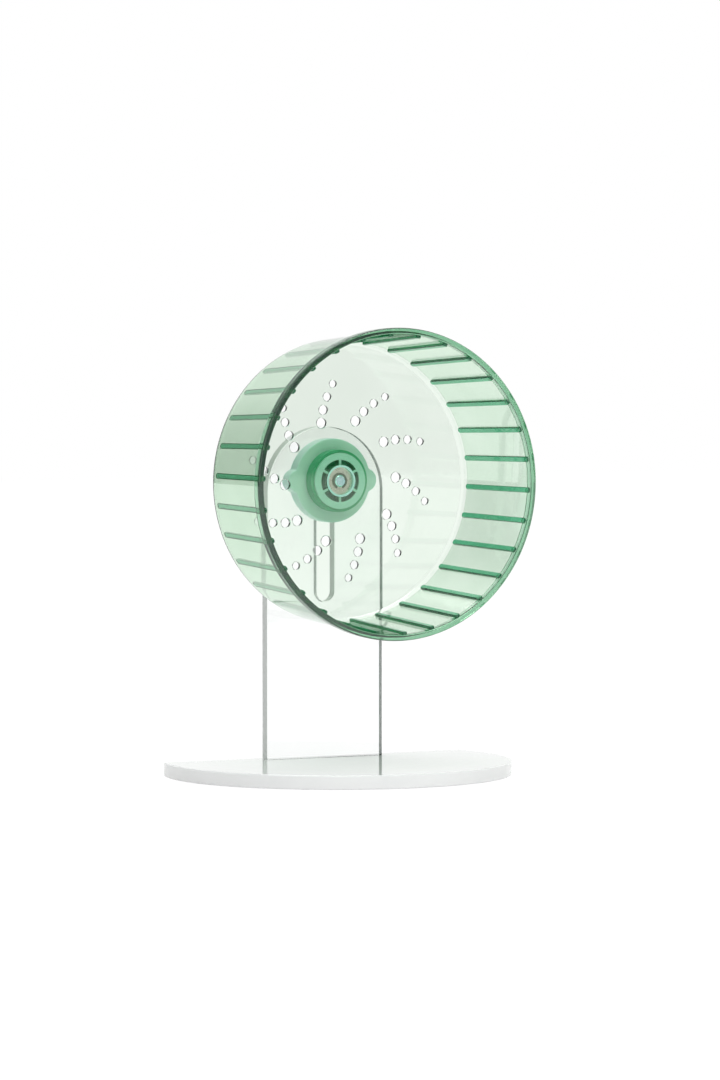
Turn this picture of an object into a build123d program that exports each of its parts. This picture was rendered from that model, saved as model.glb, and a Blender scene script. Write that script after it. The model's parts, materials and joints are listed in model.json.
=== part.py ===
from build123d import *
from math import cos, radians, sin
import os

os.makedirs("parts", exist_ok=True)

# Base: a round foot with its back cut straight, resting on four pads let into its underside
base_radius = 120.0
base_thickness = 9.5
base_back_reach = 36.0  # from the centre of the round edge back to the straight edge
base_edge_chamfer = 0.6
pad_radius = 8.0
pad_thickness = 1.5
pad_proud = 0.3  # how far a pad stands out of the underside
pad_side_spread = 84.0
pad_front_reach = 48.0  # of the front pads, ahead of the centre of the round edge
pad_rear_inset = 14.0  # of the rear pads, from the straight edge

# Stand plate: an upright with a half round top and a slot for setting the height
plate_setback = 18.5  # plate front face behind the centre of the round edge
plate_width = 88.8
plate_thickness = 8.0
plate_height = 229.0
plate_edge_chamfer = 0.4
slot_width = 13.7
slot_foot_height = 108.2  # lowest point of the slot above the base
slot_play = 0.15  # between the slot and the key on each side

# Wheel drum: open at the front, closed by a pierced disc at the back
axle_height = 201.7
rim_radius = 105.0
rim_lip_height = 1.8
rim_lip_depth = 7.0
rim_lip_round = 1.2
rim_inner_round = 0.8
drum_depth = 88.5
drum_back_radius = 97.9
drum_wall = 2.2
disc_thickness = 2.5
drum_corner_radius = 5.0

# Running ribs: rounded bars inside the drum
rib_count = 30
rib_first_angle = 9.0
rib_width = 3.8
rib_height = 1.9
rib_crest_round = 1.3
rib_front_margin = 1.3
rib_rear_margin = 5.0

# Vent holes: swirls of holes that shrink outwards
swirl_count = 10
swirl_first_angle = 110.5
swirl_holes = 4
swirl_inner_radius = 42.5
swirl_radius_step = 8.1
swirl_angle_step = 5.1
vent_inner_diameter = 7.2
vent_diameter_step = 0.63

# Hub: carries the drum on two bearings
hub_radius = 21.3
hub_face_radius = 19.2
hub_face_step = 1.5
hub_depth = 9.6
hub_boss_radius = 10.9
hub_sleeve_radius = 12.5
hub_sleeve_length = 4.0
hub_shoulder_height = 1.2
hub_pocket_count = 6
hub_pocket_radius = 14.5
hub_pocket_depth = 6.5
hub_web_width = 1.6
hub_relief_width = 3.6
hub_relief_depth = 5.0

# Ball bearings: two alike, with a bore of 8, an outside of 19 and a width of 6
bearing_bore_radius = 4.0
bearing_outer_radius = 9.5
bearing_width = 6.0
bearing_front_inset = 2.4  # from the front face of the disc
bearing_rear_inset = 0.3  # from the rear end of the hub sleeve
bearing_pitch_radius = 6.75
ball_radius = 1.5875
ball_count = 8
ball_first_angle = 22.5
inner_shoulder_radius = 5.6
outer_shoulder_radius = 7.9
shield_thickness = 0.3
shield_inset = 0.1
shield_seat_depth = 0.35
shield_play = 0.15
cage_thickness = 1.4
cage_width = 3.8
ball_play = 0.05

# Clamp knob: two wings, threaded on the axle carrier
knob_radius = 28.9
knob_depth = 10.3
knob_wing_reach = 33.8
knob_wing_radius = 7.9
knob_wing_blend = 2.0
knob_edge_round = 1.0
knob_hub_gap = 1.3
knob_recess_depth = 4.2
knob_recess_play = 1.0
washer_thickness = 0.8
washer_radius = 20.0

# Axle carrier: rear flange, slot key and threaded stud in one piece
flange_radius = 18.0
flange_thickness = 4.0
flange_edge_chamfer = 0.8
rear_pad_thickness = 0.8
rear_pad_margin = 1.0
key_height = 19.4
key_front_play = 0.4
stud_radius = 6.5
stud_reach = 7.2  # from the plate's front face to the end of the thread
nose_radius = 5.3

# Axle pin and its retaining clip
pin_head_radius = 6.0
pin_head_thickness = 2.6
pin_head_sink = 0.4
pin_front_proud = 1.6  # beyond the front bearing
pin_end_chamfer = 0.6
clip_thickness = 0.7
clip_radius = 5.4
clip_groove_depth = 0.5
clip_mouth_width = 4.0

# Fits
press_fit = 0.02  # radial room left between pieces that are pushed together
thread_fit = 0.05  # radial room between the stud and the knob
sliding_fit = 0.3  # room round pieces that pass freely

# Places along the depth, from the middle of the footprint towards the back
base_centre_y = (base_radius - base_back_reach) / 2
base_back_y = base_centre_y + base_back_reach
plate_front_y = base_centre_y + plate_setback
plate_back_y = plate_front_y + plate_thickness
knob_back_y = plate_front_y - washer_thickness
knob_front_y = knob_back_y - knob_depth
hub_back_y = knob_front_y - knob_hub_gap
disc_back_y = hub_back_y - hub_depth
disc_front_y = disc_back_y - disc_thickness
rim_front_y = disc_back_y - drum_depth
sleeve_back_y = hub_back_y + hub_sleeve_length
front_bearing_y = disc_front_y + bearing_front_inset
rear_bearing_y = sleeve_back_y - bearing_rear_inset - bearing_width
flange_front_y = plate_back_y + rear_pad_thickness
flange_back_y = flange_front_y + flange_thickness
stud_front_y = plate_front_y - stud_reach
nose_front_y = rear_bearing_y + bearing_width

# Places along the height, from the surface that the pads stand on
base_under_z = pad_proud
base_top_z = base_under_z + base_thickness
arch_centre_z = base_top_z + plate_height - plate_width / 2
key_width = slot_width - 2 * slot_play
slot_low_z = base_top_z + slot_foot_height + slot_width / 2
slot_high_z = axle_height + (key_height - key_width) / 2

# Every turned piece is drawn in half section, depth across and radius up, and turned about the axle
axle = Axis((0, 0, axle_height), (0, 1, 0))
half_section = Plane(origin=(0, 0, axle_height), x_dir=(0, 1, 0), z_dir=(1, 0, 0))


def facing(depth, height=axle_height):
    """Plane square to the axle at a depth, seen from the front, so that extrusions come forwards."""
    return Plane(origin=(0, depth, height), x_dir=(1, 0, 0), z_dir=(0, -1, 0))


def save(piece, name):
    """Label a finished piece and write it under its own name."""
    piece.part.label = name
    export_step(piece.part, f"parts/{name}.step")


def wall_inside(depth):
    """Inner radius of the tapered drum wall at a depth."""
    tapered_depth = drum_depth - drum_corner_radius
    taper = (rim_radius - rim_lip_height - drum_back_radius) / tapered_depth
    return rim_radius - rim_lip_height - drum_wall - taper * (depth - rim_front_y)


# Base plate
pad_places = [
    (side * pad_side_spread, base_centre_y - pad_front_reach) for side in (-1, 1)
] + [(side * pad_side_spread, base_back_y - pad_rear_inset) for side in (-1, 1)]

with BuildPart() as base_plate:
    with BuildSketch(Plane.XY.offset(base_under_z)):
        with Locations((0, base_centre_y)):
            Circle(base_radius)
        with Locations((0, base_back_y)):
            Rectangle(
                2 * base_radius,
                base_radius,
                align=(Align.CENTER, Align.MIN),
                mode=Mode.SUBTRACT,
            )
    extrude(amount=base_thickness)
    chamfer(base_plate.faces().filter_by(Axis.Z).edges(), base_edge_chamfer)
    with BuildSketch(Plane.XY.offset(base_under_z)):
        with Locations(*pad_places):
            Circle(pad_radius + press_fit)
    extrude(amount=pad_thickness - pad_proud, mode=Mode.SUBTRACT)
save(base_plate, "base_plate")

# Pads under the base
with BuildPart() as anti_slip_pads:
    with BuildSketch(Plane.XY):
        with Locations(*pad_places):
            Circle(pad_radius)
    extrude(amount=pad_thickness)
save(anti_slip_pads, "anti_slip_pads")

# Stand plate, welded to the top of the base with solvent
with BuildPart() as stand_plate:
    with BuildSketch(facing(plate_back_y, 0)):
        with Locations((0, base_top_z)):
            Rectangle(
                plate_width,
                arch_centre_z - base_top_z,
                align=(Align.CENTER, Align.MIN),
            )
        with Locations((0, arch_centre_z)):
            Circle(plate_width / 2)
        with Locations((0, (slot_low_z + slot_high_z) / 2)):
            SlotCenterToCenter(
                slot_high_z - slot_low_z, slot_width, rotation=90, mode=Mode.SUBTRACT
            )
    extrude(amount=plate_thickness)
    outline = stand_plate.faces().filter_by(Axis.Y).edges()
    chamfer(
        outline.filter_by_position(Axis.Z, base_top_z + 1, base_top_z + plate_height),
        plate_edge_chamfer,
    )
save(stand_plate, "stand_plate")

# One running rib, drawn at the top of the drum: a slot-shaped bar that stands in from the wall
rib_front_y = rim_front_y + rib_front_margin
rib_back_y = disc_front_y - rib_rear_margin
rib_start = Vector(0, rib_front_y, axle_height + wall_inside(rib_front_y))
rib_end = Vector(0, rib_back_y, axle_height + wall_inside(rib_back_y))
rib_run = rib_end - rib_start
rib_outward = Vector(1, 0, 0).cross(rib_run).normalized()
rib_crest = (rib_start + rib_end) / 2 - rib_outward * rib_height

with BuildPart() as one_rib:
    with BuildSketch(Plane(origin=rib_crest, x_dir=rib_run, z_dir=rib_outward)):
        SlotOverall(rib_run.length, rib_width)
    extrude(amount=rib_height + drum_wall / 2)
    fillet(one_rib.faces().sort_by(Axis(rib_crest, rib_outward))[0].edges(), rib_crest_round)

# Wheel drum
lip_back_y = rim_front_y + rim_lip_depth
hub_hole_radius = hub_boss_radius + press_fit

with BuildPart() as wheel_drum:
    with BuildSketch(half_section):
        with BuildLine():
            Polyline(
                (rim_front_y, wall_inside(rim_front_y)),
                (rim_front_y, rim_radius),
                (lip_back_y, rim_radius),
                (lip_back_y, wall_inside(lip_back_y) + drum_wall),
                (disc_back_y, wall_inside(disc_back_y) + drum_wall),
                (disc_back_y, hub_hole_radius),
                (disc_front_y, hub_hole_radius),
                (disc_front_y, wall_inside(disc_front_y)),
                close=True,
            )
        make_face()
    revolve(axis=axle)
    circles = wheel_drum.edges().filter_by(GeomType.CIRCLE).group_by(Axis.Y)
    fillet(circles[-1].sort_by(SortBy.RADIUS)[-1], drum_corner_radius)
    fillet(circles[-2].sort_by(SortBy.RADIUS)[-1], drum_corner_radius - drum_wall)
    fillet(circles[0].sort_by(SortBy.RADIUS)[-1], rim_lip_round)
    fillet(circles[0].sort_by(SortBy.RADIUS)[0], rim_inner_round)
    rib_angles = [rib_first_angle + turn * 360 / rib_count for turn in range(rib_count)]
    add([one_rib.part.rotate(axle, angle) for angle in rib_angles])
    with BuildSketch(facing(disc_back_y)):
        for swirl in range(swirl_count):
            for step in range(swirl_holes):
                angle = swirl_first_angle - swirl * 360 / swirl_count - step * swirl_angle_step
                reach = swirl_inner_radius + step * swirl_radius_step
                with Locations((reach * cos(radians(angle)), reach * sin(radians(angle)))):
                    Circle((vent_inner_diameter - step * vent_diameter_step) / 2)
    extrude(amount=disc_thickness, mode=Mode.SUBTRACT)
save(wheel_drum, "wheel_drum")

# Wheel hub
seat_radius = bearing_outer_radius + press_fit
shoulder_radius = seat_radius - hub_shoulder_height
relief_outer_radius = hub_face_radius
relief_inner_radius = hub_face_radius - hub_relief_width

with BuildPart() as wheel_hub:
    with BuildSketch(half_section):
        with BuildLine():
            Polyline(
                (disc_front_y, seat_radius),
                (disc_front_y, hub_boss_radius),
                (disc_back_y, hub_boss_radius),
                (disc_back_y, hub_face_radius),
                (disc_back_y + hub_face_step, hub_face_radius),
                (disc_back_y + hub_face_step, hub_radius),
                (hub_back_y, hub_radius),
                (hub_back_y, relief_outer_radius),
                (hub_back_y - hub_relief_depth, relief_outer_radius),
                (hub_back_y - hub_relief_depth, relief_inner_radius),
                (hub_back_y, relief_inner_radius),
                (hub_back_y, hub_sleeve_radius),
                (sleeve_back_y, hub_sleeve_radius),
                (sleeve_back_y, seat_radius),
                (rear_bearing_y, seat_radius),
                (rear_bearing_y, shoulder_radius),
                (front_bearing_y + bearing_width, shoulder_radius),
                (front_bearing_y + bearing_width, seat_radius),
                close=True,
            )
        make_face()
    revolve(axis=axle)
    with BuildSketch(facing(disc_back_y)):
        Circle(hub_pocket_radius)
        Circle(hub_boss_radius, mode=Mode.SUBTRACT)
        with PolarLocations(hub_pocket_radius / 2, hub_pocket_count, start_angle=90):
            Rectangle(hub_pocket_radius * 1.1, hub_web_width, mode=Mode.SUBTRACT)
    extrude(amount=-hub_pocket_depth, mode=Mode.SUBTRACT)
save(wheel_hub, "wheel_hub")


def ball_bearing(name, front):
    """Rings, shields, cage and balls of one bearing whose front face is at the given depth."""
    back = front + bearing_width
    middle = front + bearing_width / 2
    seat_length = shield_inset + shield_thickness
    shield_seat_radius = outer_shoulder_radius + shield_seat_depth

    with BuildPart() as outer_ring:
        with BuildSketch(half_section):
            with BuildLine():
                Polyline(
                    (front, shield_seat_radius),
                    (front, bearing_outer_radius),
                    (back, bearing_outer_radius),
                    (back, shield_seat_radius),
                    (back - seat_length, shield_seat_radius),
                    (back - seat_length, outer_shoulder_radius),
                    (front + seat_length, outer_shoulder_radius),
                    (front + seat_length, shield_seat_radius),
                    close=True,
                )
            make_face()
            with Locations((middle, bearing_pitch_radius)):
                Circle(ball_radius + ball_play, mode=Mode.SUBTRACT)
        revolve(axis=axle)
    save(outer_ring, f"{name}_bearing_outer_ring")

    with BuildPart() as inner_ring:
        with BuildSketch(half_section):
            with Locations((middle, (bearing_bore_radius + inner_shoulder_radius) / 2)):
                Rectangle(bearing_width, inner_shoulder_radius - bearing_bore_radius)
            with Locations((middle, bearing_pitch_radius)):
                Circle(ball_radius + ball_play, mode=Mode.SUBTRACT)
        revolve(axis=axle)
    save(inner_ring, f"{name}_bearing_inner_ring")

    shield_height = shield_seat_radius - press_fit - inner_shoulder_radius - shield_play
    shield_middle = inner_shoulder_radius + shield_play + shield_height / 2
    shield_reach = bearing_width / 2 - shield_inset - shield_thickness / 2
    with BuildPart() as shields:
        with BuildSketch(half_section):
            with Locations(
                (middle - shield_reach, shield_middle), (middle + shield_reach, shield_middle)
            ):
                Rectangle(shield_thickness, shield_height)
        revolve(axis=axle)
    save(shields, f"{name}_bearing_shields")

    with BuildPart() as balls:
        with Locations(facing(middle)):
            with PolarLocations(bearing_pitch_radius, ball_count, ball_first_angle):
                Sphere(ball_radius)
    save(balls, f"{name}_bearing_balls")

    with BuildPart() as cage:
        with BuildSketch(half_section):
            with Locations((middle, bearing_pitch_radius)):
                Rectangle(cage_width, cage_thickness)
        revolve(axis=axle)
        with Locations(facing(middle)):
            with PolarLocations(bearing_pitch_radius, ball_count, ball_first_angle):
                Cylinder(
                    radius=ball_radius + ball_play,
                    height=2 * cage_thickness,
                    rotation=(0, 90, 0),
                    mode=Mode.SUBTRACT,
                )
    save(cage, f"{name}_bearing_cage")


ball_bearing("front", front_bearing_y)
ball_bearing("rear", rear_bearing_y)

# Spacer between the inner rings
with BuildPart() as bearing_spacer:
    with BuildSketch(facing(rear_bearing_y)):
        Circle(inner_shoulder_radius - press_fit)
        Circle(bearing_bore_radius + press_fit, mode=Mode.SUBTRACT)
    extrude(amount=rear_bearing_y - front_bearing_y - bearing_width)
save(bearing_spacer, "bearing_spacer")

# Axle pin, pushed in from behind, with a groove for the clip at its front end
pin_radius = bearing_bore_radius - press_fit
pin_front_y = front_bearing_y - pin_front_proud
pin_head_back_y = flange_back_y - pin_head_sink
pin_head_front_y = pin_head_back_y - pin_head_thickness
clip_front_y = front_bearing_y - clip_thickness

with BuildPart() as axle_pin:
    with BuildSketch(half_section):
        with BuildLine():
            Polyline(
                (pin_front_y, 0),
                (pin_front_y, pin_radius - pin_end_chamfer),
                (pin_front_y + pin_end_chamfer, pin_radius),
                (clip_front_y - press_fit, pin_radius),
                (clip_front_y - press_fit, pin_radius - clip_groove_depth),
                (front_bearing_y, pin_radius - clip_groove_depth),
                (front_bearing_y, pin_radius),
                (pin_head_front_y, pin_radius),
                (pin_head_front_y, pin_head_radius),
                (pin_head_back_y, pin_head_radius),
                (pin_head_back_y, 0),
                close=True,
            )
        make_face()
    revolve(axis=axle)
save(axle_pin, "axle_pin")

# Retaining clip
with BuildPart() as axle_clip:
    with BuildSketch(facing(front_bearing_y)):
        Circle(clip_radius)
        Circle(pin_radius - clip_groove_depth + press_fit, mode=Mode.SUBTRACT)
        Rectangle(
            clip_mouth_width,
            2 * clip_radius,
            align=(Align.CENTER, Align.MAX),
            mode=Mode.SUBTRACT,
        )
    extrude(amount=clip_thickness)
save(axle_clip, "axle_clip")

# Axle carrier
key_front_y = plate_front_y + key_front_play

with BuildPart() as axle_carrier:
    with BuildSketch(facing(flange_back_y)):
        Circle(flange_radius)
    extrude(amount=flange_thickness)
    chamfer(
        axle_carrier.edges().filter_by(GeomType.CIRCLE).group_by(Axis.Y)[-1],
        flange_edge_chamfer,
    )
    with BuildSketch(facing(flange_front_y)):
        SlotOverall(key_height, key_width, rotation=90)
    extrude(amount=flange_front_y - key_front_y)
    with BuildSketch(facing(key_front_y)):
        Circle(stud_radius)
    extrude(amount=key_front_y - stud_front_y)
    with BuildSketch(facing(stud_front_y)):
        Circle(nose_radius)
    extrude(amount=stud_front_y - nose_front_y)
    with Locations(Plane(origin=(0, flange_back_y, axle_height), z_dir=(0, 1, 0))):
        CounterBoreHole(
            radius=bearing_bore_radius,
            counter_bore_radius=pin_head_radius + press_fit,
            counter_bore_depth=pin_head_sink + pin_head_thickness,
            depth=flange_back_y - nose_front_y,
        )
save(axle_carrier, "axle_carrier")

# Rear pad, between the flange and the back of the plate
with BuildPart() as rear_pad:
    with BuildSketch(facing(flange_front_y)):
        Circle(flange_radius - rear_pad_margin)
        SlotOverall(
            key_height + 2 * slot_play,
            key_width + 2 * slot_play,
            rotation=90,
            mode=Mode.SUBTRACT,
        )
    extrude(amount=rear_pad_thickness)
save(rear_pad, "rear_pad")

# Clamp washer, between the knob and the front of the plate
with BuildPart() as clamp_washer:
    with BuildSketch(facing(plate_front_y)):
        Circle(washer_radius)
        Circle(stud_radius + sliding_fit, mode=Mode.SUBTRACT)
    extrude(amount=washer_thickness)
save(clamp_washer, "clamp_washer")

# Clamp knob
with BuildPart() as clamp_knob:
    with BuildSketch(facing(knob_back_y)) as knob_outline:
        Circle(knob_radius)
        with PolarLocations(knob_wing_reach - knob_wing_radius, 2):
            Circle(knob_wing_radius)
        fillet(knob_outline.vertices(), knob_wing_blend)
    extrude(amount=knob_depth)
    fillet(clamp_knob.faces().filter_by(Axis.Y).edges(), knob_edge_round)
    with BuildSketch(facing(knob_back_y)):
        Circle(stud_radius + thread_fit)
    extrude(amount=knob_depth, mode=Mode.SUBTRACT)
    with BuildSketch(facing(knob_front_y)):
        Circle(hub_sleeve_radius + knob_recess_play)
    extrude(amount=-knob_recess_depth, mode=Mode.SUBTRACT)
save(clamp_knob, "clamp_knob")
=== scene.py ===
import json
from math import atan2, cos, pi, radians, sin

import bpy
from mathutils import Matrix, Vector


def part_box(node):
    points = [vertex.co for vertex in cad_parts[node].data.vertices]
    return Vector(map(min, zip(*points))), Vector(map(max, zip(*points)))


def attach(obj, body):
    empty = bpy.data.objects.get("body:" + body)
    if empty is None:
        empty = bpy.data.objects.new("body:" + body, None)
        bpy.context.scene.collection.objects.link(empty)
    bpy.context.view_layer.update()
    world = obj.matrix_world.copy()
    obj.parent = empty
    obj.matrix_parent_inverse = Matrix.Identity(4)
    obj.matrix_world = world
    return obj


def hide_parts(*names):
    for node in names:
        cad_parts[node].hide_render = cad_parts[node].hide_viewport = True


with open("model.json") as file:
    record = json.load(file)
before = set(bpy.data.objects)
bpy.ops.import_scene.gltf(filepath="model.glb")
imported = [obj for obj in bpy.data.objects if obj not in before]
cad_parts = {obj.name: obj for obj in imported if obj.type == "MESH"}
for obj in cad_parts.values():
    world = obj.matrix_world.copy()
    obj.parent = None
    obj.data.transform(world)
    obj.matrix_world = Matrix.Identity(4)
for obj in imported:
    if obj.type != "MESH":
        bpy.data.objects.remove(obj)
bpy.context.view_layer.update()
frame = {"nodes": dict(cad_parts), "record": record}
MM = 0.001

# Sizes read from the frame
drum_low, drum_high = (Vector(corner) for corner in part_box("wheel_drum"))
hub_low, hub_high = (Vector(corner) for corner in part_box("wheel_hub"))
plate_low, plate_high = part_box("stand_plate")
rim_radius = (drum_high.x - drum_low.x) / 2
axle_point = Vector((0, 0, (drum_low.z + drum_high.z) / 2))
rim_front_y = drum_low.y
disc_back_y = drum_high.y
boss_front_y = hub_low.y
plate_width = plate_high[0] - plate_low[0]
arch_centre_z = plate_high[2] - plate_width / 2

# The hub's recesses, as the frame's hub has them: its six pockets and the step round its face, which get a
# painted shade of darker green
hub_back_y = hub_high.y - 4.0 * MM
hub_face_radius = 19.2 * MM
hub_pocket_radius = 14.5 * MM
hollow_shade_start = 0.3 * MM
hollow_shade_full = 1.6 * MM
# The darker green below is painted shade for the hub's pockets and step, not the plastic's own colour
hollow_painted_shade = "#3AA878"

# The stand plate's slot, as the frame's plate has it, and how far in from a cut edge counts as that edge
slot_width = 13.7 * MM
slot_low_z = 124.85 * MM
slot_high_z = 204.7 * MM
edge_reach = 0.03 * MM

# Sizes of the drum's own shape, as the frame's drum has them
lip_height = 1.8 * MM
lip_depth = 7.0 * MM
lip_round = 1.2 * MM
lip_inner_round = 0.8 * MM
lip_foot_round = 0.4 * MM
wall = 2.2 * MM
back_radius = 97.9 * MM
corner_radius = 5.0 * MM
hub_hole_radius = 10.92 * MM
hub_hole_round = 0.2 * MM
rib_count = 30
rib_first_angle = 9.0
rib_width = 3.8 * MM
rib_height = 1.9 * MM
rib_crest_round = 1.3 * MM
rib_end_round = rib_width / 2 * 0.98
rib_front_margin = 1.3 * MM
rib_rear_margin = 5.0 * MM
swirl_count = 10
swirl_first_angle = 110.5
swirl_holes = 4
swirl_inner_radius = 42.5 * MM
swirl_radius_step = 8.1 * MM
swirl_angle_step = 5.1
vent_inner_diameter = 7.2 * MM
vent_diameter_step = 0.63 * MM
vent_edge_flare = 0.3 * MM
vent_cutter_proud = 1.0 * MM
disc_air = 0.06 * MM  # between the disc and the hub behind it
drum_steps = 240
smooth_angle = 32
merge_distance = 0.001 * MM
parallel_enough = 0.99

# Where one zone of the drum ends and the next starts
lip_face_depth = 1.1 * MM
lip_edge_margin = 0.1 * MM
rib_zone_margin = 4.6 * MM
rib_zone_height = 0.12 * MM

# Zones of the drum, numbered on its faces: disc, outer wall, ribs, lip; each with its two tones and
# clearness. The deeper greens of wall, ribs and lip are partly the dye seen through more plastic and partly
# painted shade for the darkening that refraction gives there
disc_zone, wall_zone, rib_zone, lip_zone = range(4)
zone_tones_with_painted_shade = [
    ("#F4F8F3", "#F9FCF8", 1.0),
    ("#C0DCC5", "#CCE4D0", 1.0),
    ("#2C9A68", "#36A876", 0.7),
    ("#93C6A9", "#A1CFB4", 0.88),
]

# Shaders
tone_patch = 40 * MM
dye_colour, dye_density = (0.10, 0.72, 0.20, 1), 36.0
sheet_tint, sheet_tint_density = (0.62, 0.80, 0.74, 1), 4.0
tone_noise_detail = 3.0
bump_noise_detail = 2.0
ring_scale = 6.3  # ring spacings to one unit of the wave texture's scale

# The photograph's camera
camera_azimuth = radians(-27.18)
camera_elevation = radians(2.49)
camera_distance = 3.319
camera_aim = Vector((-0.0297, rim_front_y, 0.1652))
camera_lens = 165.9
camera_sensor = 36

# The studio: the floor's own glow in the picture, and how the world dims towards its two sides
floor_size = 12
floor_glow_share = 0.86
floor_glow = 1.07
dim_from = 0.40
dim_full = 0.80
side_dimness = 0.02


def linear(code):
    """A colour written as sRGB hex, as the shaders want it."""
    parts = [int(code[i : i + 2], 16) / 255 for i in (1, 3, 5)]
    return [p / 12.92 if p <= 0.04045 else ((p + 0.055) / 1.055) ** 2.4 for p in parts] + [1.0]


def add_node(tree, kind, settings=None, values=None, links=None):
    """Add a shader node with its settings, its socket values and the links into it."""
    made = tree.nodes.new(kind)
    for name, value in (settings or {}).items():
        setattr(made, name, value)
    for socket, value in (values or {}).items():
        made.inputs[socket].default_value = value
    for socket, source in (links or {}).items():
        tree.links.new(source, made.inputs[socket])
    return made


def new_material(name):
    """A material with an empty node tree and its output."""
    made = bpy.data.materials.new(name)
    made.use_nodes = True
    made.node_tree.nodes.clear()
    output = add_node(made.node_tree, "ShaderNodeOutputMaterial")
    return made, made.node_tree, output


def place_on(tree, centre=(0, 0, 0)):
    """Object coordinates measured from a centre, in metres."""
    coords = add_node(tree, "ShaderNodeTexCoord")
    return add_node(
        tree,
        "ShaderNodeMapping",
        {"vector_type": "TEXTURE"},
        {"Location": centre},
        {"Vector": coords.outputs["Object"]},
    ).outputs["Vector"]


def noise_between(tree, place, size, low, high):
    """A value that wanders between low and high over patches of the given size in metres."""
    noise = add_node(
        tree, "ShaderNodeTexNoise", None, {"Scale": 1 / size, "Detail": tone_noise_detail}, {"Vector": place}
    )
    return add_node(
        tree,
        "ShaderNodeMapRange",
        None,
        {"From Min": 0.3, "From Max": 0.7, "To Min": low, "To Max": high},
        {"Value": noise.outputs["Fac"]},
    ).outputs["Result"]


def shade_between(tree, place, size, dark, light):
    """A colour that wanders between two hex colours over patches of the given size in metres."""
    share = noise_between(tree, place, size, 0.0, 1.0)
    return add_node(
        tree, "ShaderNodeMix", {"data_type": "RGBA"}, {6: linear(dark), 7: linear(light)}, {0: share}
    ).outputs[2]


def bumps(tree, place, size, height, strength):
    """A surface normal raised by noise of the given size and height in metres."""
    noise = add_node(
        tree, "ShaderNodeTexNoise", None, {"Scale": 1 / size, "Detail": bump_noise_detail}, {"Vector": place}
    )
    return add_node(
        tree,
        "ShaderNodeBump",
        None,
        {"Strength": strength, "Distance": height},
        {"Height": noise.outputs["Fac"]},
    ).outputs["Normal"]


def let_light_through(tree, surface, tint):
    """Clear plastic that casts only a pale, tinted shadow on what is inside or behind it, as real clear
    plastic does."""
    rays = add_node(tree, "ShaderNodeLightPath")
    lighting = add_node(
        tree,
        "ShaderNodeMath",
        {"operation": "MAXIMUM"},
        None,
        {0: rays.outputs["Is Shadow Ray"], 1: rays.outputs["Is Diffuse Ray"]},
    )
    passed = add_node(tree, "ShaderNodeBsdfTransparent", None, None, {"Color": tint})
    return add_node(
        tree,
        "ShaderNodeMixShader",
        None,
        None,
        {0: lighting.outputs["Value"], 1: surface, 2: passed.outputs["BSDF"]},
    ).outputs["Shader"]


def clear_green_styrene():
    """Injection-moulded clear styrene, dyed green in the mass: pale in the disc, a shade deeper in the wall
    and along the lip, deep green in the ribs. These deeper greens are partly the dye seen through more of the
    plastic and partly painted shade, standing in for the dark lines that refraction draws along the ribs and
    the lip. Faint flow waves make what is behind it swim a little."""
    made, tree, output = new_material("clear_green_styrene")
    place = place_on(tree, axle_point)
    zone = add_node(tree, "ShaderNodeAttribute", {"attribute_name": "zone"}).outputs["Fac"]
    dark, light, clarity = zone_tones_with_painted_shade[disc_zone]
    tone = shade_between(tree, place, tone_patch, dark, light)
    clearness = add_node(tree, "ShaderNodeValue").outputs["Value"]
    clearness.default_value = clarity
    # Each further zone paints a deeper green over the last, partly as painted shade, and lowers the
    # clearness.
    for level, (dark, light, clarity) in list(enumerate(zone_tones_with_painted_shade))[1:]:
        here = shade_between(tree, place, tone_patch, dark, light)
        past = add_node(
            tree, "ShaderNodeMath", {"operation": "GREATER_THAN"}, {1: level - 0.5}, {0: zone}
        ).outputs["Value"]
        tone = add_node(
            tree, "ShaderNodeMix", {"data_type": "RGBA"}, None, {0: past, 6: tone, 7: here}
        ).outputs[2]
        clearness = add_node(
            tree, "ShaderNodeMix", {"data_type": "FLOAT"}, {3: clarity}, {0: past, 2: clearness}
        ).outputs[0]
    shader = add_node(
        tree,
        "ShaderNodeBsdfPrincipled",
        None,
        {"IOR": 1.59},
        {
            "Base Color": tone,
            "Transmission Weight": clearness,
            "Roughness": noise_between(tree, place, 12 * MM, 0.012, 0.035),
            "Normal": bumps(tree, place, 35 * MM, 0.04 * MM, 0.15),
        },
    )
    dye = add_node(
        tree, "ShaderNodeVolumeAbsorption", None, {"Color": dye_colour, "Density": dye_density}
    )
    lit = let_light_through(tree, shader.outputs["BSDF"], tone)
    tree.links.new(lit, output.inputs["Surface"])
    tree.links.new(dye.outputs["Volume"], output.inputs["Volume"])
    return made


def apart_from(tree, place, low, high):
    """Distance in the plate's plane from an upright line between two heights."""
    axes = add_node(tree, "ShaderNodeSeparateXYZ", None, None, {"Vector": place})
    nearest = add_node(
        tree, "ShaderNodeClamp", None, {"Min": low, "Max": high}, {"Value": axes.outputs["Z"]}
    )
    rise = add_node(
        tree,
        "ShaderNodeMath",
        {"operation": "SUBTRACT"},
        None,
        {0: axes.outputs["Z"], 1: nearest.outputs["Result"]},
    )
    across = add_node(
        tree, "ShaderNodeCombineXYZ", None, None, {"X": axes.outputs["X"], "Z": rise.outputs["Value"]}
    )
    return add_node(
        tree, "ShaderNodeVectorMath", {"operation": "LENGTH"}, None, {0: across.outputs["Vector"]}
    ).outputs["Value"]


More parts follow.
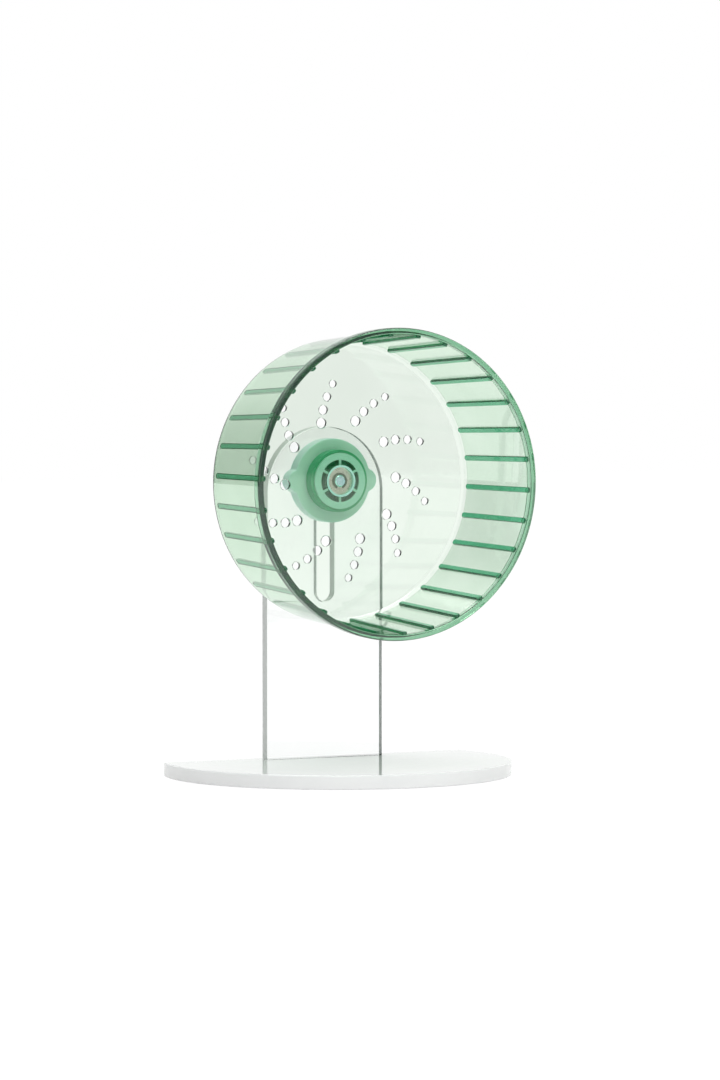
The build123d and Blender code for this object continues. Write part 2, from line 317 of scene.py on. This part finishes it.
def clear_cast_acrylic():
    """Cast acrylic sheet: glass-clear faces, and frosted cut edges that show as soft grey bands, pale on the
    left of the plate and on the right of its slot. On the right of the plate and the left of its slot the
    edges are painted a darker grey as shade."""
    made, tree, output = new_material("clear_cast_acrylic")
    place = place_on(tree)
    outer = add_node(
        tree,
        "ShaderNodeMath",
        {"operation": "GREATER_THAN"},
        {1: plate_width / 2 - edge_reach},
        {0: apart_from(tree, place, 0.0, arch_centre_z)},
    )
    slot = add_node(
        tree,
        "ShaderNodeMath",
        {"operation": "LESS_THAN"},
        {1: slot_width / 2 + edge_reach},
        {0: apart_from(tree, place, slot_low_z, slot_high_z)},
    )
    cut_edge = add_node(
        tree,
        "ShaderNodeMath",
        {"operation": "MAXIMUM"},
        None,
        {0: outer.outputs["Value"], 1: slot.outputs["Value"]},
    )
    shader = add_node(
        tree,
        "ShaderNodeBsdfPrincipled",
        None,
        {"IOR": 1.49, "Transmission Weight": 1.0},
        {
            "Base Color": shade_between(tree, place, 60 * MM, "#FBFDFC", "#FFFFFF"),
            "Roughness": noise_between(tree, place, 8 * MM, 0.0, 0.02),
            "Normal": bumps(tree, place, 50 * MM, 0.03 * MM, 0.15),
        },
    )
    tint = add_node(
        tree, "ShaderNodeVolumeAbsorption", None, {"Color": sheet_tint, "Density": sheet_tint_density}
    )
    # The cut edges on the plate's right and on the slot's left are painted a darker grey, as shade.
    axes = add_node(tree, "ShaderNodeSeparateXYZ", None, None, {"Vector": place})
    side = add_node(
        tree,
        "ShaderNodeMapRange",
        None,
        {"To Min": 1.0, "To Max": -1.0},
        {"Value": slot.outputs["Value"]},
    )
    outwards = add_node(
        tree,
        "ShaderNodeMath",
        {"operation": "MULTIPLY"},
        None,
        {0: axes.outputs["X"], 1: side.outputs["Result"]},
    )
    painted_shade_side = add_node(
        tree, "ShaderNodeMath", {"operation": "GREATER_THAN"}, {1: 0.0}, {0: outwards.outputs["Value"]}
    )
    edge_tone_with_painted_shade = add_node(
        tree,
        "ShaderNodeMix",
        {"data_type": "RGBA"},
        None,
        {
            0: painted_shade_side.outputs["Value"],
            6: shade_between(tree, place, 2 * MM, "#EEF1EF", "#F6F8F7"),
            7: shade_between(tree, place, 2 * MM, "#8E9C95", "#9CA9A3"),
        },
    ).outputs[2]
    frosted = add_node(
        tree,
        "ShaderNodeBsdfPrincipled",
        None,
        {"IOR": 1.49, "Transmission Weight": 0.35},
        {
            "Base Color": edge_tone_with_painted_shade,
            "Roughness": noise_between(tree, place, 1.5 * MM, 0.35, 0.5),
            "Normal": bumps(tree, place, 0.8 * MM, 0.03 * MM, 0.4),
        },
    )
    sheet = add_node(
        tree,
        "ShaderNodeMixShader",
        None,
        None,
        {0: cut_edge.outputs["Value"], 1: shader.outputs["BSDF"], 2: frosted.outputs["BSDF"]},
    )
    lit = let_light_through(tree, sheet.outputs["Shader"], edge_tone_with_painted_shade)
    tree.links.new(lit, output.inputs["Surface"])
    tree.links.new(tint.outputs["Volume"], output.inputs["Volume"])
    return made


def white_cast_acrylic():
    """Opal white acrylic sheet: even milky white under a wet-looking polish."""
    made, tree, output = new_material("white_cast_acrylic")
    place = place_on(tree)
    shader = add_node(
        tree,
        "ShaderNodeBsdfPrincipled",
        None,
        {
            "IOR": 1.49,
            "Subsurface Weight": 0.15,
            "Subsurface Radius": (0.004, 0.004, 0.004),
            "Subsurface Scale": 1.0,
        },
        {
            "Base Color": shade_between(tree, place, 70 * MM, "#EDEDEE", "#F1F1F1"),
            "Roughness": noise_between(tree, place, 5 * MM, 0.05, 0.09),
            "Normal": bumps(tree, place, 60 * MM, 0.02 * MM, 0.2),
        },
    )
    tree.links.new(shader.outputs["BSDF"], output.inputs["Surface"])
    return made


def hub_hollow_shade(tree, place):
    """How much painted shade falls where the hub falls back from its face: its six pockets and the step round
    its edge.
    """
    axes = add_node(tree, "ShaderNodeSeparateXYZ", None, None, {"Vector": place})
    flat = add_node(
        tree, "ShaderNodeVectorMath", {"operation": "MULTIPLY"}, {1: (1.0, 0.0, 1.0)}, {0: place}
    )
    radius = add_node(
        tree, "ShaderNodeVectorMath", {"operation": "LENGTH"}, None, {0: flat.outputs["Vector"]}
    ).outputs["Value"]
    sunk = add_node(
        tree,
        "ShaderNodeMapRange",
        None,
        {"From Min": disc_back_y + hollow_shade_start, "From Max": disc_back_y + hollow_shade_full},
        {"Value": axes.outputs["Y"]},
    ).outputs["Result"]
    before_back = add_node(
        tree, "ShaderNodeMath", {"operation": "LESS_THAN"}, {1: hub_back_y}, {0: axes.outputs["Y"]}
    ).outputs["Value"]
    pocket = add_node(
        tree, "ShaderNodeMath", {"operation": "LESS_THAN"}, {1: hub_pocket_radius}, {0: radius}
    ).outputs["Value"]
    edge = add_node(
        tree, "ShaderNodeMath", {"operation": "GREATER_THAN"}, {1: hub_face_radius}, {0: radius}
    ).outputs["Value"]
    either = add_node(
        tree, "ShaderNodeMath", {"operation": "MAXIMUM"}, None, {0: pocket, 1: edge}
    ).outputs["Value"]
    inside = add_node(
        tree, "ShaderNodeMath", {"operation": "MULTIPLY"}, None, {0: either, 1: before_back}
    ).outputs["Value"]
    return add_node(
        tree, "ShaderNodeMath", {"operation": "MULTIPLY"}, None, {0: sunk, 1: inside}
    ).outputs["Value"]


def mint_abs(name, dark, light, hollow_shade_mask=None):
    """Moulded mint-green ABS: satin, faintly waxy, a touch uneven in tone like all pale mouldings. Where a
    shade mask is given, a darker green is painted into the recesses as shade."""
    made, tree, output = new_material(name)
    place = place_on(tree)
    tone = shade_between(tree, place, 9 * MM, dark, light)
    # Paint a darker green into the hub's pockets and step, as shade.
    if hollow_shade_mask:
        tone = add_node(
            tree,
            "ShaderNodeMix",
            {"data_type": "RGBA"},
            {7: linear(hollow_painted_shade)},
            {0: hollow_shade_mask(tree, place_on(tree, (0, 0, axle_point.z))), 6: tone},
        ).outputs[2]
    shader = add_node(
        tree,
        "ShaderNodeBsdfPrincipled",
        None,
        {
            "IOR": 1.53,
            "Subsurface Weight": 0.15,
            "Subsurface Radius": (0.001, 0.002, 0.0015),
            "Subsurface Scale": 1.0,
        },
        {
            "Base Color": tone,
            "Roughness": noise_between(tree, place, 3 * MM, 0.28, 0.4),
            "Normal": bumps(tree, place, 0.6 * MM, 0.02 * MM, 0.3),
        },
    )
    tree.links.new(shader.outputs["BSDF"], output.inputs["Surface"])
    return made


def turned_metal(name, dark, light, rough_low, rough_high, ring_spacing):
    """Metal turned or ground on a lathe: fine rings round the axle catch the light as soft arcs."""
    made, tree, output = new_material(name)
    place = place_on(tree, axle_point)
    rings = add_node(
        tree,
        "ShaderNodeTexWave",
        {"wave_type": "RINGS", "rings_direction": "Y"},
        {"Scale": 1 / ring_spacing / ring_scale, "Distortion": 0.6, "Detail": 2.0},
        {"Vector": place},
    )
    raised = add_node(
        tree,
        "ShaderNodeBump",
        None,
        {"Strength": 0.25, "Distance": 0.01 * MM},
        {"Height": rings.outputs["Fac"]},
    )
    shader = add_node(
        tree,
        "ShaderNodeBsdfPrincipled",
        None,
        {"Metallic": 1.0},
        {
            "Base Color": shade_between(tree, place, 3 * MM, dark, light),
            "Roughness": noise_between(tree, place, 1.5 * MM, rough_low, rough_high),
            "Normal": raised.outputs["Normal"],
        },
    )
    tree.links.new(shader.outputs["BSDF"], output.inputs["Surface"])
    return made


def matte_compound(name, dark, light, rough_low, rough_high, grain, height):
    """Rubber or nylon: dull, with a fine moulded grain."""
    made, tree, output = new_material(name)
    place = place_on(tree)
    shader = add_node(
        tree,
        "ShaderNodeBsdfPrincipled",
        None,
        {"IOR": 1.5},
        {
            "Base Color": shade_between(tree, place, 6 * MM, dark, light),
            "Roughness": noise_between(tree, place, 2 * MM, rough_low, rough_high),
            "Normal": bumps(tree, place, grain, height, 0.5),
        },
    )
    tree.links.new(shader.outputs["BSDF"], output.inputs["Surface"])
    return made


finishes = {
    "clear_green_plastic": clear_green_styrene(),
    "clear_acrylic": clear_cast_acrylic(),
    "white_acrylic": white_cast_acrylic(),
    # The mint is lighter than the plastic's own: painted light that makes up for the light the clear disc in
    # front holds back.
    "mint_plastic": mint_abs("mint_abs", "#C9EBE6", "#D3F0EC"),
    "bearing_steel": turned_metal("ground_bearing_steel", "#D0DBC3", "#DDE6D1", 0.25, 0.34, 0.5 * MM),
    # The pin's pale cyan is a painted reflection: the bright background seen through the green plastic, laid
    # into the steel's own colour.
    "pin_steel": turned_metal("polished_pin_steel", "#CCFBF6", "#DCFFFB", 0.12, 0.2, 0.4 * MM),
    "spring_steel": turned_metal("phosphated_spring_steel", "#7B8A7A", "#8C9A88", 0.3, 0.4, 0.3 * MM),
    "zinc_steel": turned_metal("zinc_plated_steel", "#AEB2B5", "#C6CACC", 0.25, 0.4, 0.6 * MM),
    "grey_rubber": matte_compound(
        "grey_pad_rubber", "#6A6A6A", "#787878", 0.7, 0.85, 0.5 * MM, 0.05 * MM
    ),
    "clear_rubber": matte_compound(
        "frosted_washer_rubber", "#C3CBC8", "#D2D9D6", 0.5, 0.65, 0.4 * MM, 0.03 * MM
    ),
    "cage_nylon": matte_compound("cage_nylon", "#D9D4C4", "#E6E1D2", 0.45, 0.6, 0.5 * MM, 0.02 * MM),
}


def dress(piece, material):
    """Give a whole object one material."""
    piece.data.materials.clear()
    piece.data.materials.append(material)


for part in frame["record"]["subparts"]:
    dress(frame["nodes"][part["node"]], finishes[part["material_slot"]])
# The hub's mint is likewise lightened as painted light, and a darker green is painted into its pockets and
# step as shade.
dress(frame["nodes"]["wheel_hub"], mint_abs("mint_abs_hub_painted_shade", "#B0E4D6", "#BBE9DF", hub_hollow_shade))


def begin():
    """Leave edit mode and deselect everything, so that an operator acts on nothing but what comes next."""
    if bpy.context.object and bpy.context.object.mode != "OBJECT":
        bpy.ops.object.mode_set(mode="OBJECT")
    bpy.ops.object.select_all(action="DESELECT")


def make_active(piece):
    """Select one object alone."""
    begin()
    piece.select_set(True)
    bpy.context.view_layer.objects.active = piece


def trace(name, points):
    """Draw an outline point by point, as one chain of edges."""
    begin()
    bpy.ops.mesh.primitive_plane_add(size=MM, location=points[0])
    piece = bpy.context.object
    piece.name = piece.data.name = name
    bpy.ops.object.transform_apply()
    bpy.ops.object.mode_set(mode="EDIT")
    bpy.ops.mesh.select_all(action="SELECT")
    bpy.ops.mesh.merge(type="CENTER")
    for here, there in zip(points, points[1:]):
        bpy.ops.mesh.extrude_region_move(TRANSFORM_OT_translate={"value": there - here})
    return piece


def turn_about_axle(steps):
    """Spin the traced outline once round the axle and close it."""
    bpy.ops.mesh.select_all(action="SELECT")
    bpy.ops.mesh.spin(steps=steps, angle=2 * pi, center=axle_point, axis=(0, 1, 0))
    bpy.ops.mesh.select_all(action="SELECT")
    bpy.ops.mesh.remove_doubles(threshold=merge_distance)
    bpy.ops.mesh.normals_make_consistent(inside=False)
    bpy.ops.object.mode_set(mode="OBJECT")


def round_corner(before, corner, after, radius, steps=6):
    """Points of the arc that rounds a corner between two straight runs."""
    to_before = (before - corner).normalized()
    to_after = (after - corner).normalized()
    half = to_before.angle(to_after) / 2
    reach = radius / (sin(half) / cos(half))
    centre = corner + (to_before + to_after).normalized() * radius / sin(half)
    start = corner + to_before * reach - centre
    end = corner + to_after * reach - centre
    sweep = start.angle(end)
    normal = start.cross(end).normalized()
    return [centre + Matrix.Rotation(sweep * i / steps, 3, normal) @ start for i in range(steps + 1)]


def rounded_outline(corners):
    """Closed outline in half section from (depth, radius, corner rounding) rows."""
    at = [axle_point + Vector((0, depth, radius)) for depth, radius, _ in corners]
    points = []
    for i, (_, _, rounding) in enumerate(corners):
        if rounding:
            points += round_corner(at[i - 1], at[i], at[(i + 1) % len(at)], rounding)
        else:
            points.append(at[i])
    return points + points[:1]


def boolean(piece, tool, operation):
    """Join or cut a piece with another, which is used up."""
    make_active(piece)
    change = piece.modifiers.new(operation.lower(), "BOOLEAN")
    change.operation = operation
    change.solver = "EXACT"
    change.object = tool
    bpy.ops.object.modifier_apply(modifier=change.name)
    bpy.data.objects.remove(tool)


def join_copies(piece, places, name):
    """One object of a modelled piece repeated at the given placements; the first model is used up."""
    copies = []
    for place in places:
        copy = piece.copy()
        copy.data = piece.data.copy()
        copy.data.transform(place)
        bpy.context.collection.objects.link(copy)
        copies.append(copy)
    bpy.data.objects.remove(piece)
    begin()
    for copy in copies:
        copy.select_set(True)
    bpy.context.view_layer.objects.active = copies[0]
    bpy.ops.object.join()
    joined = bpy.context.object
    joined.name = joined.data.name = name
    return joined


def about_axle(angle):
    """Turn about the axle, in degrees, positive from the top towards +X."""
    move = Matrix.Translation(axle_point)
    return move @ Matrix.Rotation(radians(angle), 4, "Y") @ move.inverted()


def wall_inside(depth):
    """Inner radius of the drum wall at a depth."""
    run = disc_back_y - corner_radius - rim_front_y
    taper = (rim_radius - lip_height - back_radius) / run
    return rim_radius - lip_height - wall - taper * (depth - rim_front_y)


def running_rib():
    """One running rib: a bar with round ends and a rounded crest, leaning with the wall."""
    front, back = rim_front_y + rib_front_margin, boss_front_y - rib_rear_margin
    start = axle_point + Vector((0, front, wall_inside(front)))
    end = axle_point + Vector((0, back, wall_inside(back)))
    lean = atan2(end.z - start.z, end.y - start.y)
    begin()
    bpy.ops.mesh.primitive_cube_add(size=1, location=(0, 0, 0))
    rib = bpy.context.object
    rib.scale = (rib_width, (end - start).length, rib_height + wall / 2)
    bpy.ops.object.transform_apply()
    rib.data.transform(Matrix.Translation((0, 0, (wall / 2 - rib_height) / 2)))
    bpy.ops.object.mode_set(mode="EDIT")
    for rounding, along, steps in ((rib_end_round, (0, 0, 1), 8), (rib_crest_round, None, 5)):
        select_edges(rib, along, -rib_height)
        bpy.ops.mesh.bevel(offset=rounding, segments=steps, affect="EDGES", clamp_overlap=True)
    bpy.ops.object.mode_set(mode="OBJECT")
    rib.data.transform(Matrix.Translation((start + end) / 2) @ Matrix.Rotation(lean, 4, "X"))
    return rib


def select_edges(piece, along, level):
    """Select, in edit mode, the edges along a direction, or those of the face at a level."""
    bpy.ops.mesh.select_mode(type="EDGE")
    bpy.ops.mesh.select_all(action="DESELECT")
    bpy.ops.object.mode_set(mode="OBJECT")
    for edge in piece.data.edges:
        a, b = (piece.data.vertices[i].co for i in edge.vertices)
        if along:
            edge.select = abs((b - a).normalized().dot(Vector(along))) > parallel_enough
        else:
            edge.select = max(abs(a.z - level), abs(b.z - level)) < merge_distance
    bpy.ops.object.mode_set(mode="EDIT")


def vent_cutter(radius, place):
    """A spool that cuts one vent hole and eases both of its edges."""
    thickness = disc_back_y - boss_front_y
    length = thickness + 2 * vent_cutter_proud
    begin()
    bpy.ops.mesh.primitive_cylinder_add(vertices=40, radius=radius, depth=length)
    cutter = bpy.context.object
    bpy.ops.object.mode_set(mode="EDIT")
    for level in (vent_edge_flare - thickness / 2, thickness / 2 - vent_edge_flare):
        bpy.ops.mesh.select_all(action="SELECT")
        bpy.ops.mesh.bisect(plane_co=(0, 0, level), plane_no=(0, 0, 1))
    bpy.ops.object.mode_set(mode="OBJECT")
    flare = 1 + (vent_edge_flare + vent_cutter_proud) / radius
    for vertex in cutter.data.vertices:
        if abs(vertex.co.z) > thickness / 2:
            vertex.co.x *= flare
            vertex.co.y *= flare
    cutter.data.transform(Matrix.Translation(place) @ Matrix.Rotation(pi / 2, 4, "X"))
    return cutter


def running_drum():
    """The clear green drum: turned shell, thirty ribs and the swirls of vent holes."""
    lip_back = rim_front_y + lip_depth
    outline = rounded_outline(
        [
            (rim_front_y, wall_inside(rim_front_y), lip_inner_round),
            (rim_front_y, rim_radius, lip_round),
            (lip_back, rim_radius, lip_round / 2),
            (lip_back, wall_inside(lip_back) + wall, lip_foot_round),
            (disc_back_y - disc_air, wall_inside(disc_back_y) + wall, corner_radius),
            (disc_back_y - disc_air, hub_hole_radius, hub_hole_round),
            (boss_front_y, hub_hole_radius, hub_hole_round),
            (boss_front_y, wall_inside(boss_front_y), corner_radius - wall),
        ]
    )
    drum = trace("running_drum", outline)
    turn_about_axle(drum_steps)
    turns = [about_axle(rib_first_angle + i * 360 / rib_count) for i in range(rib_count)]
    boolean(drum, join_copies(running_rib(), turns, "ribs"), "UNION")
    disc_middle = (disc_back_y + boss_front_y) / 2
    for step in range(swirl_holes):
        reach = swirl_inner_radius + step * swirl_radius_step
        radius = (vent_inner_diameter - step * vent_diameter_step) / 2
        cutter = vent_cutter(radius, axle_point + Vector((0, disc_middle, reach)))
        turns = [
            about_axle(90 - swirl_first_angle + swirl * 360 / swirl_count + step * swirl_angle_step)
            for swirl in range(swirl_count)
        ]
        boolean(drum, join_copies(cutter, turns, "vents"), "DIFFERENCE")
    make_active(drum)
    bpy.ops.object.shade_smooth_by_angle(angle=radians(smooth_angle))
    weighted = drum.modifiers.new("flat_faces_stay_flat", "WEIGHTED_NORMAL")
    weighted.keep_sharp = True
    bpy.ops.object.modifier_apply(modifier=weighted.name)
    return drum


def mark_zones(piece):
    """Number the drum's faces by zone, for its one material to read."""
    zones = piece.data.attributes.new("zone", "FLOAT", "FACE")
    for face in piece.data.polygons:
        place = face.center - axle_point
        radius = Vector((place.x, 0, place.z)).length
        depth = face.center.y
        inward = wall_inside(depth) - radius
        if depth < rim_front_y + lip_face_depth or radius > rim_radius - lip_height + lip_edge_margin:
            zones.data[face.index].value = lip_zone
        elif depth < boss_front_y - rib_zone_margin and inward > rib_zone_height:
            zones.data[face.index].value = rib_zone
        elif depth < disc_back_y - corner_radius and inward < -wall / 2:
            zones.data[face.index].value = wall_zone
        else:
            zones.data[face.index].value = disc_zone


drum = running_drum()
mark_zones(drum)
dress(drum, finishes["clear_green_plastic"])
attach(drum, "wheel")
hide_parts("wheel_drum")


def white_floor():
    """Plain pale floor that stays white in the picture and keeps a soft shadow under the base."""
    made, tree, output = new_material("pale_floor")
    rays = add_node(tree, "ShaderNodeLightPath")
    seen = add_node(
        tree,
        "ShaderNodeMath",
        {"operation": "MAXIMUM"},
        None,
        {0: rays.outputs["Is Camera Ray"], 1: rays.outputs["Is Glossy Ray"]},
    )
    seen = add_node(
        tree,
        "ShaderNodeMath",
        {"operation": "MAXIMUM"},
        None,
        {0: seen.outputs["Value"], 1: rays.outputs["Is Transmission Ray"]},
    )
    share = add_node(
        tree, "ShaderNodeMath", {"operation": "MULTIPLY"}, {1: floor_glow_share}, {0: seen.outputs["Value"]}
    )
    matte = add_node(tree, "ShaderNodeBsdfDiffuse", None, {"Color": linear("#FAFAFA")})
    glow = add_node(tree, "ShaderNodeEmission", None, {"Color": (1, 1, 1, 1), "Strength": floor_glow})
    mix = add_node(
        tree,
        "ShaderNodeMixShader",
        None,
        None,
        {0: share.outputs["Value"], 1: matte.outputs["BSDF"], 2: glow.outputs["Emission"]},
    )
    tree.links.new(mix.outputs["Shader"], output.inputs["Surface"])
    begin()
    bpy.ops.mesh.primitive_plane_add(size=floor_size, location=(0, 0, 0))
    floor = bpy.context.object
    floor.name = "floor"
    dress(floor, made)


def white_world():
    """A white studio whose two sides, seen from the camera, stay dim and draw the plastic's edges."""
    world = bpy.data.worlds.new("white_studio")
    bpy.context.scene.world = world
    world.use_nodes = True
    tree = world.node_tree
    tree.nodes.clear()
    rays = add_node(tree, "ShaderNodeLightPath")
    direction = add_node(tree, "ShaderNodeTexCoord")
    sideways = add_node(
        tree,
        "ShaderNodeVectorMath",
        {"operation": "DOT_PRODUCT"},
        {1: (cos(camera_azimuth), sin(camera_azimuth), 0.0)},
        {0: direction.outputs["Generated"]},
    )
    off_axis = add_node(
        tree, "ShaderNodeMath", {"operation": "ABSOLUTE"}, None, {0: sideways.outputs["Value"]}
    )
    room = add_node(
        tree,
        "ShaderNodeMapRange",
        {"interpolation_type": "SMOOTHSTEP"},
        {"From Min": dim_from, "From Max": dim_full, "To Min": 1.0, "To Max": side_dimness},
        {"Value": off_axis.outputs["Value"]},
    )
    strength = add_node(
        tree,
        "ShaderNodeMath",
        {"operation": "MAXIMUM"},
        None,
        {0: room.outputs["Result"], 1: rays.outputs["Is Camera Ray"]},
    )
    sky = add_node(
        tree,
        "ShaderNodeBackground",
        None,
        {"Color": (1, 1, 1, 1)},
        {"Strength": strength.outputs["Value"]},
    )
    output = add_node(tree, "ShaderNodeOutputWorld")
    tree.links.new(sky.outputs["Background"], output.inputs["Surface"])


def soft_lamp(name, place, size, watts):
    """Large square lamp that looks at the axle."""
    light = bpy.data.lights.new(name, "AREA")
    light.size = size
    light.energy = watts
    lamp = bpy.data.objects.new(name, light)
    bpy.context.collection.objects.link(lamp)
    lamp.location = place
    lamp.rotation_euler = (axle_point - Vector(place)).to_track_quat("-Z", "Y").to_euler()


def photo_camera():
    """The photograph's viewpoint: a long lens in front, to the left and a little above."""
    level = cos(camera_elevation)
    back = Vector((sin(camera_azimuth) * level, -cos(camera_azimuth) * level, sin(camera_elevation)))
    data = bpy.data.cameras.new("photo_camera")
    data.sensor_width = camera_sensor
    data.lens = camera_lens
    camera = bpy.data.objects.new("photo_camera", data)
    bpy.context.collection.objects.link(camera)
    camera.location = camera_aim + back * camera_distance
    camera.rotation_euler = (-back).to_track_quat("-Z", "Y").to_euler()
    bpy.context.scene.camera = camera


white_floor()
white_world()
soft_lamp("key_lamp", (0.5, -1.7, 2.1), 1.3, 16)
soft_lamp("fill_lamp", (1.6, -1.0, 1.4), 1.4, 4)
soft_lamp("top_lamp", (-0.2, 0.2, 2.5), 1.6, 17)
photo_camera()
bpy.context.scene.view_settings.view_transform = "Standard"
